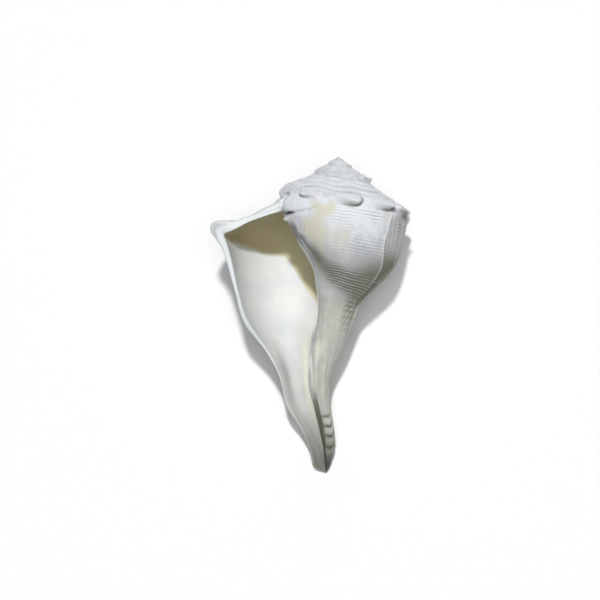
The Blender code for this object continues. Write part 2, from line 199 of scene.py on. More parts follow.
# The wall behind the inner lip and the canal's ridge, drawn to the right by mm at depths
TUCK_DEPTHS = (40, 44, 50.7, 57.5, 63.4, 73, 84, 96, 106, 118, 128, 138, 148, 158)
TUCK_MM = (0, 0.5, 2.9, 2.4, 1.2, 0.5, 0.4, 0.7, 1.9, 2.5, 2, 0.6, 0.2, 0)
TUCK_WALL_DEPTHS = (92, 106, 126, 142)
TUCK_WALL_MM = (0, 1.1, 1, 0)

# Where the tan of the throat ends on the inside, as landmarks at angles. The tan is painted shade: it is
# laid where the key light's shadow falls inside the opening.
THROAT_ANGLES = (-110, -92, -77.7, -72.9, -69.4, -64.8, -61, -58.5, -54.2, -43.9, -35.7, -29.6,
                 -20.4, -10.7, 0)
THROAT_MARKS = (14, 12, 10.34, 9.79, 9.03, 8.12, 7.52, 7.2, 7, 6.54, 5.75, 5.29, 4.64, 4.12, 3.7)

# How far the inside greys toward the canal's end, as shares at depths. The grey is partly a discolouring
# and partly painted shade.
FAR_DEPTHS = (70, 95, 110, 125, 138, 150, 158)
FAR_SHARES = (0, 0.17, 0.31, 0.44, 0.64, 0.87, 1)

# Two growth steps on the right of the body, as angles at landmarks
STEP_MARKS = (3.2, 3.6, 4, 4.4, 4.7, 5, 5.3, 5.6, 6)
STEP_ONE = (-213, -214.5, -215.5, -217, -215, -210.5, -206.5, -202.5, -200)
STEP_TWO = (-191.5, -192.5, -193, -192, -190, -189, -190, -191, -192)

# The lap over the whorl beside the opening, as landmarks at angles
LAP_ANGLES = (-345, -336, -318, -302, -286, -276)
LAP_MARKS = (3.88, 3.87, 3.79, 3.66, 3.40, 3.05)

# How far apart the threads are in mm, and the beads of the base in degrees
THREAD_SPACING = 1.62
BEAD_DEG = 11

# Corrugations of the pillar's lower end: the landmarks of the gaps between them
PAD_GAPS = (9.98, 10.27, 10.55, 10.85, 11.22, 11.62)

# The band where the body turns under to the pillar, darkened by a discolouring and by painted shade, as
# landmarks at angles
BEND_ANGLES = (-336, -325, -319, -312, -306, -292, -281, -267, -252, -230, -200)
BEND_MARKS = (4.15, 4.22, 4.35, 4.66, 4.88, 5.08, 5.24, 5.37, 5.46, 5.5, 5.5)

# The masks that only the outside has
OUTSIDE_ONLY = ("cord", "thread", "band", "bead", "sunk", "dark", "light", "cream", "stain_and_shade", "under",
                "pillar", "worn_and_lit", "olive")

# The key light and the front light come from these ways, in shell coordinates
KEY_FROM = (-0.07, 0.44, 1)
FRONT_FROM = (0, 0, 1)
FRONT_SPREAD = 0.6

# The camera looks at this point, in shell coordinates in mm, and takes in this width, tilted in its plane
FRAME_CENTRE = (-16.575, -72.972, 0)
FRAME_WIDTH = 302.62
FRAME_TILT_DEG = 2.204
SENSOR_WIDTH = 36
FLOOR_HALF = 4


def curve(x, xs, ys, slope=None):
    """Smooth line through (xs, ys): cubic pieces with slopes from the neighbours, straight beyond the ends.

    ys may hold one number for each of xs, or one array like x for each of them.
    """
    x = np.asarray(x, float)
    xs = np.asarray(xs, float)
    ys = np.asarray(ys, float)
    if ys.ndim == 1:
        ys = np.broadcast_to(ys.reshape((-1,) + (1,) * x.ndim), (len(ys),) + x.shape)
    h = np.diff(xs)
    wide = h.reshape((-1,) + (1,) * x.ndim)
    d = np.diff(ys, axis=0) / wide
    m = np.empty(ys.shape)
    m[0] = d[0] if slope is None else slope
    m[-1] = d[-1]
    m[1:-1] = (d[:-1] * wide[1:] + d[1:] * wide[:-1]) / (wide[:-1] + wide[1:])
    k = np.clip(np.searchsorted(xs, x) - 1, 0, len(xs) - 2)
    u = (x - xs[k]) / h[k]
    y0, y1 = pick(ys, k), pick(ys, k + 1)
    m0, m1 = pick(m, k) * h[k], pick(m, k + 1) * h[k]
    inside = (1 + 2 * u) * (1 - u) ** 2 * y0 + u * (1 - u) ** 2 * m0
    inside = inside + u * u * (3 - 2 * u) * y1 + u * u * (u - 1) * m1
    below = ys[0] + m[0] * (x - xs[0])
    above = ys[-1] + m[-1] * (x - xs[-1])
    return np.where(x < xs[0], below, np.where(x > xs[-1], above, inside))


def pick(table, at):
    """Entry of table for each element of at, along the first axis."""
    return np.take_along_axis(table, at[None], 0)[0]


def hump(x, centre, width):
    """Bell of height 1 at centre."""
    return np.exp(-((x - centre) / width) ** 2)


def rise(x, low, high):
    """Smooth step from 0 at low to 1 at high."""
    u = np.clip((x - low) / (high - low), 0, 1)
    return u * u * (3 - 2 * u)


def fall(x, low, high):
    """Smooth step from 1 at low to 0 at high."""
    return 1 - rise(x, low, high)


def between(x, low, full, ease, high):
    """Smooth window: 0 at low, 1 at full, then from 1 at ease to 0 at high."""
    return rise(x, low, full) * fall(x, ease, high)


def spots(table, across, down):
    """Sum of bells: each row holds a height, then a centre and a width across, and the same down."""
    return sum(height * hump(across, *row[:2]) * hump(down, *row[2:]) for height, *row in table)


def ripple(u, v, seed, waves=10):
    """Smooth wandering field between about -1 and 1: a sum of sine waves of seeded directions and phases."""
    dice = np.random.default_rng(seed)
    total = np.zeros(np.broadcast(u, v).shape)
    ways = dice.uniform(0, np.pi, waves)
    speeds = dice.uniform(0.5, 2, waves)
    phases = dice.uniform(0, 2 * np.pi, waves)
    for way, speed, phase in zip(ways, speeds, phases):
        total += np.sin(speed * (u * np.cos(way) + v * np.sin(way)) + phase)
    return total / np.sqrt(waves)


def lean(deg):
    """How much of the lip's forward run is there at each angle."""
    return np.exp(-(deg / LEAN_FADE_DEG) ** 2)


def canal_end(deg):
    """Depth where the growth line stops: the tip outside, the valley beside the pillar inside."""
    inward = np.clip(deg + 360, VALLEY_ANGLES[0], 0)
    return np.where(deg >= -360, LENGTH, curve(inward, VALLEY_ANGLES, VALLEY_DEPTHS))


def low_radius(deg, depth):
    """Radius below the neck, read in depth first and then between the angles."""
    table = np.array([curve(depth, LOW_DEPTHS, radii) for radii in LOW_RADII])
    return np.maximum(curve(np.maximum(deg, LOW_ANGLES[0]), LOW_ANGLES, table), 0)


def marks_at(deg):
    """Depths and radii of the landmarks 1 to 13 at the angles, as arrays with the landmark first."""
    depths = [np.zeros(deg.shape)]
    radii = [np.zeros(deg.shape)]
    for marks in (LOW_RAMP, HIGH_RAMP, SHOULDER, UPPER_BODY, BODY, BASE, NECK):
        depths.append(np.exp(curve(deg, ANGLES, np.log([m[0] for m in marks]), DEPTH_GROWTH / 180)))
        radii.append(np.exp(curve(deg, ANGLES, np.log([m[1] for m in marks]), RADIUS_GROWTH / 180)))
    end = canal_end(deg)
    for part in LOW_PARTS:
        depth = depths[7] + (end - depths[7]) * part
        depths.append(depth)
        radii.append(low_radius(deg, depth))
    return np.array(depths), np.array(radii)


def along(values, mark, first):
    """Value at mark landmarks from the suture, by a cubic through the neighbouring landmarks."""
    points = np.array(values)
    points[0] = first
    k = np.minimum(mark.astype(int), len(points) - 2)
    u = mark - k
    a = pick(points, k)
    b = pick(points, k + 1)
    before = np.where(k > 0, pick(points, np.maximum(k - 1, 0)), 2 * a - b)
    after = np.where(k + 2 < len(points), pick(points, np.minimum(k + 2, len(points) - 1)), 2 * b - a)
    return 0.5 * (2 * a + (b - before) * u + (2 * before - 5 * a + 4 * b - after) * u * u
                  + (3 * a - 3 * b + after - before) * u ** 3)


def knob_rise(grown, mark):
    """Height of the knobs: rounded ones by two bells, drops by a bell that is flatter on top and falls
    faster on their steep side with a hollow beyond it, and the row of the spire by bells."""
    rounded = hump(mark, 3, KNOB_ROWS)
    total = sum(height * hump(grown, angle, KNOB_WIDTH_DEG) * rounded for angle, height in ROUND_KNOBS)
    for angle, middle, height, wide, tall, run, across, down in DROP_KNOBS:
        x = (grown - angle) / wide
        y = (mark - middle) / tall
        x = x / np.where(x * across < 0, run, 1)
        y = y / np.where(y * down < 0, run, 1)
        far = np.hypot(x, y)
        steep = rise((x * across + y * down) / np.maximum(far, 1e-6), 0, 1)
        total = total + height * np.exp(-far ** (1.8 + 2.4 * steep))
        total = total - 0.16 * height * steep * hump(far, 1.5, 0.3)
    angle = ROUND_KNOBS[-1][0] - SPIRE_KNOB_SPACING
    while angle > -360 * (SPIRE / WHORL + 1) - 40:
        height = SPIRE_KNOB_HEIGHT * np.exp(RADIUS_GROWTH * (angle + 300) / 180)
        height = height * (0.3 + 0.7 * rise(angle, *SPIRE_KNOB_FADE))
        total = total + height * hump(grown, angle, KNOB_WIDTH_DEG) * hump(mark, 2.58, 0.42)
        angle -= SPIRE_KNOB_SPACING
    return total


def smooth_wall(deg, mark, seated=True):
    """Growth angle, place angle, depth and radius of the outside, for arrays of angle and landmark.

    The radius and depth of the growth line grow with the turn. Where the lip sits on the whorl before it,
    the upper rows of that whorl are drawn forward to its seat.
    """
    before_d, before_r = marks_at(deg - 360 + LEAN_DEG[0] * lean(deg))
    first_d = along(before_d, np.full(deg.shape, SEAT), 0)
    first_r = along(before_r, np.full(deg.shape, SEAT), 0)
    drawn = LEAN_DEG[0] * np.clip((SEAT_FADE[1] - mark) / (SEAT_FADE[1] - SEAT_FADE[0]), 0, 1)
    grown = deg + seated * drawn * lean(deg + 360)
    depths, radii = marks_at(grown)
    depth = along(depths, mark, first_d)
    radius = along(radii, mark, first_r)
    knob = knob_rise(grown, mark)
    low = np.exp(-((depth - CANAL_MIDDLE) / CANAL_REACH) ** 4) * (mark > 7.5)
    groove = GROOVE_DEPTH * hump(grown, GROOVE_ANGLE, GROOVE_WIDTH_DEG)
    ridge = RIDGE_HEIGHT * hump(grown, RIDGE_ANGLE, RIDGE_WIDTH_DEG)
    trim = np.interp(depth, TRIM_DEPTHS, TRIM_MM) * hump(grown, TRIM_ANGLE, TRIM_WIDTH_DEG)
    trim = trim * (depth < LENGTH - 0.1)
    angle = grown + curve(mark, LEAN_MARKS, LEAN_DEG) * lean(deg)
    return grown, angle, depth + 0.1 * knob, np.maximum(radius + knob + (ridge - groove) * low - trim, 0)


def place(angle, depth, radius):
    """Shell coordinates in mm from angle, depth and radius: X across, Y toward the apex, Z to the front."""
    turn = np.radians(angle)
    bend = np.maximum(depth - CANAL_BEND, 0) / (LENGTH - CANAL_BEND)
    x = curve(depth, AXIS_DEPTHS, AXIS_SHIFTS) - radius * np.cos(turn)
    return np.stack([x, -depth, radius * np.sin(turn) - CANAL_BACK * bend ** 2], axis=-1)


def thread_count(mark):
    """Number of spiral threads passed from the suture to a landmark, at an even spacing down the front."""
    marks = np.linspace(0, END, 400)
    _, _, depth, radius = smooth_wall(np.full(marks.shape, -240), marks)
    run = np.concatenate([[0], np.cumsum(np.hypot(np.diff(depth), np.diff(radius)))])
    return np.interp(mark, marks, run) / THREAD_SPACING


def lip_shift(deg, mark, edge):
    """Shell coordinates in mm by which the lip is moved, fading inward: edge is LIP_DOWN or LIP_UP."""
    fade = np.exp(-(deg / LIP_FADE_DEG) ** 2)
    x = np.interp(mark, LIP_MARKS, LIP_IN) * fade
    y = np.interp(mark, LIP_MARKS, edge) * fade
    return np.stack([x, y, 0 * x], axis=-1)


def tuck(angle, depth):
    """Shell coordinates in mm by which the wall behind the inner lip is drawn to the right."""
    centre = np.interp(depth, (70, 105), (-320, -341))
    x = np.interp(depth, TUCK_DEPTHS, TUCK_MM) * hump(angle, centre, 31)
    x = x + np.interp(depth, TUCK_WALL_DEPTHS, TUCK_WALL_MM) * fall(angle, -384, -371)
    return np.stack([x, 0 * x, 0 * x], axis=-1)


def column_deg(columns):
    """Angle of columns counted from the lip, inward below 0."""
    whorls = np.floor(-columns / WHORL)
    return -360 * whorls - np.interp(-columns - whorls * WHORL, COLUMN_STOPS, COLUMN_DEG)


class Places:
    """Where the points of the outside are, and how far each is from the lines that are drawn on it.

    last is 1 on the last whorl, ending and behind fade what stops at the right and at the back, and cord
    counts the threads with a slight wander.
    """

    def __init__(self, grown, angle, mark, deg):
        self.grown = grown
        self.angle = angle
        self.mark = mark
        self.deg = deg
        self.last = rise(deg, -372, -358)
        self.ending = 1 - 0.65 * rise(grown, -200, -184)
        self.behind = 1 - 0.8 * rise(grown, -180, -150)
        self.beside = angle - curve(mark, EDGE_MARKS, EDGE_ANGLES)
        self.bend = mark - curve(np.clip(angle, BEND_ANGLES[0], BEND_ANGLES[-1]), BEND_ANGLES, BEND_MARKS)
        self.under = mark - curve(np.clip(angle, LAP_ANGLES[0], LAP_ANGLES[-1]), LAP_ANGLES, LAP_MARKS)
        self.step_one = grown - curve(mark, STEP_MARKS, STEP_ONE) - 0.8 * ripple(mark * 3, mark, 41)
        self.step_two = grown - curve(mark, STEP_MARKS, STEP_TWO) - 0.8 * ripple(mark * 3, mark, 43)
        self.tall = between(mark, 3.2, 3.5, 5.6, 6.1)
        self.ramp = between(mark, 0.1, 0.5, 2.2, 2.9)
        self.callus = fall(self.beside, 10, 40) * rise(mark, 3.7, 4.1)
        self.count = thread_count(mark)
        self.cord = self.count + 0.15 * ripple(grown / 9, mark * 0.6, 3)
        self.cord = self.cord + 0.08 * ripple(grown / 2.5, mark * 3, 4)
        self.belly = between(mark, 3.15, 3.5, 4.5, 5.1) * rise(grown, -300, -262) * self.ending
        self.past = rise(self.step_one, -1, 2) * between(mark, 3.2, 3.6, 5.2, 5.8) * self.ending
        self.broken = np.clip(0.55 + 0.65 * ripple(grown / 8, mark * 4, 5, 14), 0, 1.3)
        self.base = between(self.bend, -0.26, -0.04, 0.28, 0.5) * rise(grown, -284, -258) * self.ending
        trail = rise(self.bend, 0.3, 0.6) * fall(mark, 6.8, 8.2)
        self.trail = trail * between(grown, -232, -210, -190, -178)
        gap_width = 0.06 + 0.03 * fall(angle, -338, -326)
        self.gap = hump(self.under, 0.09, gap_width) * fall(angle, -328, -308) * self.last
        self.pads = between(angle, -306, -280, -186, -172) * between(mark, 10, 10.25, 11.3, 11.6)
        bow = 0.00002 * np.maximum(angle + 290, 0) ** 2
        gaps = np.interp(mark + bow, PAD_GAPS, range(len(PAD_GAPS)))
        self.crease = np.abs(np.sin(np.pi * (gaps + 0.10 * ripple(angle / 22, mark * 1.5, 51))))


def along_turn(look, at):
    """Height in mm of what runs along the turn: threads, cords, beads and the lines of the spire.

    They are cosines of the thread count. A wandering field breaks the threads, and the beads are a cosine
    of the count times one of the angle.
    """
    wave = 0.5 + 0.5 * np.cos(2 * np.pi * at.cord)
    threads = look.thread * (0.8 * at.belly + 0.5 * at.past) * (wave ** 1.5 - 0.4) * at.broken
    dots = 0.5 + 0.5 * np.cos(np.pi * at.cord)
    dots = dots * (0.5 + 0.5 * np.cos(2 * np.pi * (at.grown / BEAD_DEG + 0.25 * at.cord)))
    cords = look.cord * (at.base * (wave ** 0.6 - 0.7) + 0.5 * at.trail * (dots - 0.3))
    lines = np.sin(2 * np.pi * (at.count * 0.28 + 0.3 * ripple(at.grown / 13, at.mark, 21)))
    return threads + cords + 0.28 * at.ramp * lines


def across_turn(look, at):
    """Height in mm of what runs down the whorl: growth lines, the lip's folds and the two growth steps.

    Growth lines are a wandering field. The folds and the waves past a step are sines of the angle.
    """
    grown, mark = at.grown, at.mark
    age = ripple(grown / 5, mark * 0.35, 11, 14) + 0.5 * ripple(grown / 1.8, mark * 0.5, 12, 12)
    growth = look.growth * age * (1 - 0.7 * at.callus) * rise(END - mark, 0.4, 1.5)
    near_lip = rise(at.deg, -34, -6) * fall(mark, 4.2, 6.5)
    folds = 0.3 * near_lip * np.sin(2 * np.pi * (grown + 3 * ripple(mark, grown / 20, 31)) / 7.5)
    waves = rise(at.step_one, 0, 4) * np.sin(2 * np.pi * (grown + 1.5 * ripple(mark * 2, mark, 47)) / 5.2)
    steps = 0.42 * hump(at.step_one, 0, 1.2) + 0.36 * hump(at.step_two, 0, 1.2)
    steps = steps - 0.35 * between(at.step_one, 0, 2, 8, 20) + 0.2 * waves * at.ending
    return growth + folds + at.tall * steps


def beside_opening(look, at):
    """Height in mm of the forms beside the opening and the pads of the pillar.

    The lip's upper end laps over the whorl to the right and stops below at a curved step, with a beak and
    a slit under it. Pits and a lid are bells beside the knobs, the edge of the inner lip and its ridge are
    bells along a line, and the pads are the root of a sine between their gaps.
    """
    grown, angle, mark, beside, under, last = at.grown, at.angle, at.mark, at.beside, at.under, at.last
    over = np.where(under < 0, np.exp(-(under / 0.55) ** 4), np.exp(-(under / 0.05) ** 2))
    lap = (0.55 + 0.15 * fall(angle, -340, -312)) * over * fall(angle, -306, -276)
    beak = spots(BEAK, angle, mark) - spots(LAP_PIT, grown, mark)
    hollow = -1.2 * hump(at.bend, 0.06, 0.32) * fall(angle, -306, -262) * rise(beside, 4, 16)
    hollow = hollow * rise(mark, 4.45, 4.85)
    lid = np.hypot((grown + 299) / 14, (mark - 2.74) / 0.42)
    lid = 0.5 * hump(lid, 1, 0.16) * fall(mark, 2.8, 2.95)
    strand = 0.7 * hump(angle, -321 - 17 * (mark - 3.2), 3.2)
    strand = strand - 0.5 * hump(angle, -330 - 22 * (mark - 3.25), 3.5)
    strand = strand * between(mark, 3, 3.2, 3.55, 3.8)
    pits = -spots(PITS, grown, mark)
    edge = look.edge * hump(beside, 3, 4) * between(mark, 4.5, 4.9, 8.8, 9.4)
    ridge = 0.5 * hump(beside, 1.5, 3.5) * between(mark, 8.4, 8.8, 9.1, 9.5)
    ridge = ridge - 0.8 * hump(beside, 9, 9) * between(mark, 9.3, 10.2, 11.9, 12.6)
    pads = 1.2 * at.pads * (at.crease ** 0.6 - 0.75)
    return (lap + beak + hollow + lid + strand) * last + pits + edge + ridge + pads - 1.8 * at.gap


def outside_masks(at, sunk):
    """Shares from 0 to about 1 that the finish of the outside reads. sunk is how far each point lies low.

    Each is a sum of soft patches: bells and smooth windows of the angle and the landmark, or of how far a
    point is from a line. Two slightly wandering coordinates give the cream patches their uneven edges. Many
    stand in for light: painted shade in hollows, undersides, grooves and edges, and painted highlights on
    tops and on faces that turn from the key light.
    """
    grown, angle, mark, beside, bend, step = at.grown, at.angle, at.mark, at.beside, at.bend, at.step_one
    last, behind, crease = at.last, at.behind, at.crease
    low = mark + 0.12 * np.minimum(beside, 0)
    # The groove beside the canal gets painted shadow in an olive tint, as does the slit under the lap
    groove = between(beside, -16, -4, 60, 104) * rise(low, 9.4, 10.4)
    # The wall beside the canal faces away from the key light; the masks below lighten it with painted light
    clear = rise(beside + 16 * rise(mark, 8.8, 9.4), 1, 6) * fall(beside, 56, 92)
    clear = clear * rise(mark, 7.9, 8.4) * fall(low, 9.2, 10.1)

    # Light lines on the growth steps and the inner lip's edge, partly painted highlight, and painted
    # highlights on the knobs' tops, the lap's edge, along the right edge and on the wall beside the canal
    light = 0.6 * hump(step, 0, 1) + 0.4 * hump(at.step_two, 0, 1)
    light = light * at.tall * at.ending * fall(mark, 5.3, 5.8) + 0.5 * clear
    light += 1.3 * hump(beside, 6, 5) * between(mark, 4.6, 4.9, 7.4, 8.2) * last
    light += 0.6 * hump(grown, -179, 4) * between(mark, 4.5, 5, 8.4, 9)
    light += spots(LAP_LIGHT, angle, mark) * last
    light += spots(LIGHT_SPOTS, grown, mark)

    # Painted shade: near black in the slit under the lap, in the pads' gaps, in the hollows by the knobs and
    # in the groove, and darker toward the canal's tip
    dark = 0.95 * rise(mark, 11.2, 11.9) * rise(angle, -330, -290) + 0.8 * at.gap
    dark += at.pads * fall(crease, -0.2, 0.8) * rise(angle, -300, -262)
    dark += 0.9 * rise(sunk, 0.6, 2.2) * behind * (mark < CORNER)
    dark += groove * (0.35 * rise(low, 9.9, 10.5) + 0.21 * rise(low, 10.4, 10.9))

    wide = angle + 5 * ripple(angle / 5, mark * 5, 61)
    high = mark + 0.12 * ripple(angle / 4, mark * 4, 62)
    cream = hump(wide, -279, 12) * between(high, 2.8, 3.5, 3.4, 4.2) + 0.5 * clear
    cream += 0.9 * hump(wide, -285, 15) * between(high, 3.4, 4.1, 4.4, 5.3)
    cream += 0.5 * hump(wide, -260, 8) * hump(high, 4.4, 0.3)
    streaks = 0.7 * hump(wide, -292, 9) + 0.56 * hump(wide, -262, 10)
    cream += streaks * between(high, 6.8, 8.2, 9.2, 10.2)

    # Painted shade with a grey-olive discolouring in the bend beside the inner lip, then more painted shade:
    # a dark line inside the right edge, the strip past the growth step, the shaded right edge and its corner,
    # the lower right of the body, the line under the lap, beside the beak and by the wall at the canal
    shaded_band = hump(bend, 0.02, 0.27) * between(angle, -330, -320, -262, -235)
    shaded_band = np.maximum(shaded_band, 0.9 * hump(angle, -309, 12) * between(mark, 4.35, 4.6, 5.1, 5.6))
    shaded_band = 0.8 * last * np.maximum(shaded_band, fall(angle, -320, -308) * between(mark, 4.27, 4.4, 4.8, 5.1))
    inset = hump(grown, -188 - 3 * rise(mark, 6, 8), 3.5) * between(mark, 5.2, 5.8, 8.6, 9.4)
    stain_and_shade = np.maximum(shaded_band, 0.55 * inset)
    stain_and_shade = np.maximum(stain_and_shade, 0.5 * rise(step, 0, 6) * hump(mark, 5.3, 0.4) * fall(grown, -182, -150))
    stain_and_shade += 0.5 * hump(at.under, 0.05, 0.04) * between(angle, -330, -316, -290, -274) * last
    stain_and_shade += 0.8 * hump(grown, -186, 9) * between(mark, 1.4, 2.4, 3.3, 3.5) * fall(grown, -182, -166)
    stain_and_shade += 0.5 * between(grown, -212, -203, -186, -174) * between(mark, 2.85, 3, 3.4, 3.6)
    stain_and_shade += 1.1 * between(grown, -226, -206, -182, -160) * hump(mark, 5.5, 0.4)
    stain_and_shade += 0.8 * hump(beside, 3, 5) * between(mark, 4.16, 4.24, 4.5, 4.8) * last
    stain_and_shade += 0.5 * hump(beside, 3, 8) * between(mark, 9, 9.2, 9.5, 9.9)

    # Painted shade: the underside of the body, the part past the first growth step and the bend to the pillar
    # are darker
    under = rise(grown, -256, -214) * between(mark, 4.4, 5.2, 5.8, 7.2)
    under += 0.8 * rise(step, 0, 4) * between(mark, 3.2, 3.6, 5.6, 7)
    under += 1.4 * hump(bend, 0.12, 0.45) * rise(angle, -318, -290)
    under += 0.35 * hump(mark, 4.9, 0.35) * rise(angle, -306, -286)
    # Painted light with some whitening by wear: the shoulder and the ramp that face the key light, the wall
    # beside the canal, and the lap's upper end
    worn_and_lit = hump(mark, 3.5, 0.62) * rise(angle, -300, -272) * fall(step, -14, 0)
    worn_and_lit = np.maximum(worn_and_lit, 0.7 * at.ramp) + 0.35 * clear
    worn_and_lit += 0.8 * hump(mark, 3.5, 0.5) * fall(angle, -302, -286) * last
    return {
        "cord": at.cord,
        "thread": (0.7 * at.belly + 0.25 * at.past) * at.broken,
        "band": at.base,
        "bead": at.trail,
        "sunk": sunk * behind,
        "smooth": at.callus,
        "light": light,
        "dark": np.clip(dark, 0, 1),
        "cream": cream,
        "stain_and_shade": stain_and_shade,
        # painted shade, and darker toward the canal's lower end
        "under": under * behind + 1.4 * rise(mark, 10.3, 11.3),
        "pillar": rise(mark, 5.7, 6.6) * rise(beside, 1, 8) * (1 - 0.9 * clear),
        "worn_and_lit": worn_and_lit,
        "olive": np.maximum(0.9 * groove, at.gap),
        "inner": fall(beside + 14 * rise(mark, 9, 9.6), -3, 1),
    }


def sculpture(look, grown, angle, mark, deg):
    """Height in mm of the fine forms above the smooth wall, and the masks that the finish reads.

    The forms fade out at the suture, at the tip and where the shell rests.
    """
    at = Places(grown, angle, mark, deg)
    height = along_turn(look, at) + across_turn(look, at) + beside_opening(look, at)
    height = height * rise(END - mark, 0.02, 0.5) * rise(mark, 0, 0.35)
    resting = hump(mark, 3, 0.7) * between(grown, -182, -168, -58, -44)
    resting = np.maximum(resting, rise(mark, 9, 10) * between(grown, -190, -170, -60, -40))
    height = height * (1 - 0.95 * resting)
    return height, outside_masks(at, sinking(height + knob_rise(grown, mark)))


def sinking(relief):
    """How far each point lies below the mean of the seven by seven points about it, in mm."""
    mean = relief
    for axis in (0, 1):
        count = relief.shape[axis]
        padded = np.pad(mean, [(3, 3) if axis == side else (0, 0) for side in (0, 1)], mode="edge")
        mean = sum(np.take(padded, np.arange(k, k + count), axis) for k in range(7)) / 7
    return mean - relief


def outer_sheet(look):
    """Points and masks of the whole outside grid: the smooth wall moved along its normal by the sculpture."""
    rows = row_marks()
    deg = column_deg(np.arange(-(WHORL + SPIRE), 1))
    deg, mark = np.meshgrid(deg, rows)
    grown, angle, depth, radius = smooth_wall(deg, mark)
    points = place(angle, depth, radius)
    normal = np.cross(np.gradient(points, axis=1), np.gradient(points, axis=0))
    normal /= np.maximum(np.linalg.norm(normal, axis=-1, keepdims=True), 1e-9)
    turn = np.radians(angle)
    out = -normal[..., 0] * np.cos(turn) + normal[..., 2] * np.sin(turn)
    normal *= np.where(np.median(out) < 0, -1, 1)
    height, masks = sculpture(look, grown, angle, mark, deg)
    covered = (deg < -360) & (mark > SEAT)
    height = np.where(covered, height * rise(deg, -368 - 24 * rise(mark, 7.5, 8.5), -360), height)
    cover(masks, covered, deg, mark)
    masks["far"] = np.interp(depth, FAR_DEPTHS, FAR_SHARES)
    for name in ("grey_patch", "rim", "warm"):
        masks[name] = np.zeros(deg.shape)
    masks["turn"] = grown / 360
    masks["mark"] = mark
    moved = points + normal * height[..., None] + lip_shift(deg, mark, -np.array(LIP_DOWN))
    return moved + tuck(angle, depth) * ((deg > -480) & (mark > 3.5))[..., None], masks


def cover(masks, covered, deg, mark):
    """Changes the masks where the last whorl covers the one before it, which is then the cavity's floor.

    It takes the inside's finish and loses the marks of the outside. A notch beside the opening gets a bell of
    painted shade, and the throat's painted shade rises inward.
    """
    opened = np.where(mark > 3.95, masks["inner"], 0) * (deg > -560)
    masks["inner"] = np.where(covered & (mark < 7.8), 1, opened)
    for name in ("thread", "band", "bead", "sunk", "stain_and_shade", "cream", "light", "worn_and_lit", "dark"):
        masks[name] = np.where(covered & (mark < 8), 0, masks[name])
    notch = covered * hump(mark, 3.97, 0.08) * rise(deg, -376, -366)
    masks["inner"] = masks["inner"] * (1 - notch)
    masks["dark"] = masks["dark"] + 0.9 * notch
    masks["shade"] = np.where(covered, rise(-(deg + 360), 14, 60) * 2 - 1, -1)
    # The spire's whorls get a little of the same darkening
    masks["under"] = masks["under"] + 0.2 * fall(deg, -392, -366) * (mark < SEAT)


def row_marks():
    """Landmark value of every row."""
    stops = zip(ROW_STOPS[:-1], ROW_STOPS[1:], ROW_COUNTS)
    parts = [np.linspace(first, last, count, endpoint=False) for first, last, count in stops]
    return np.concatenate(parts + [[END]])


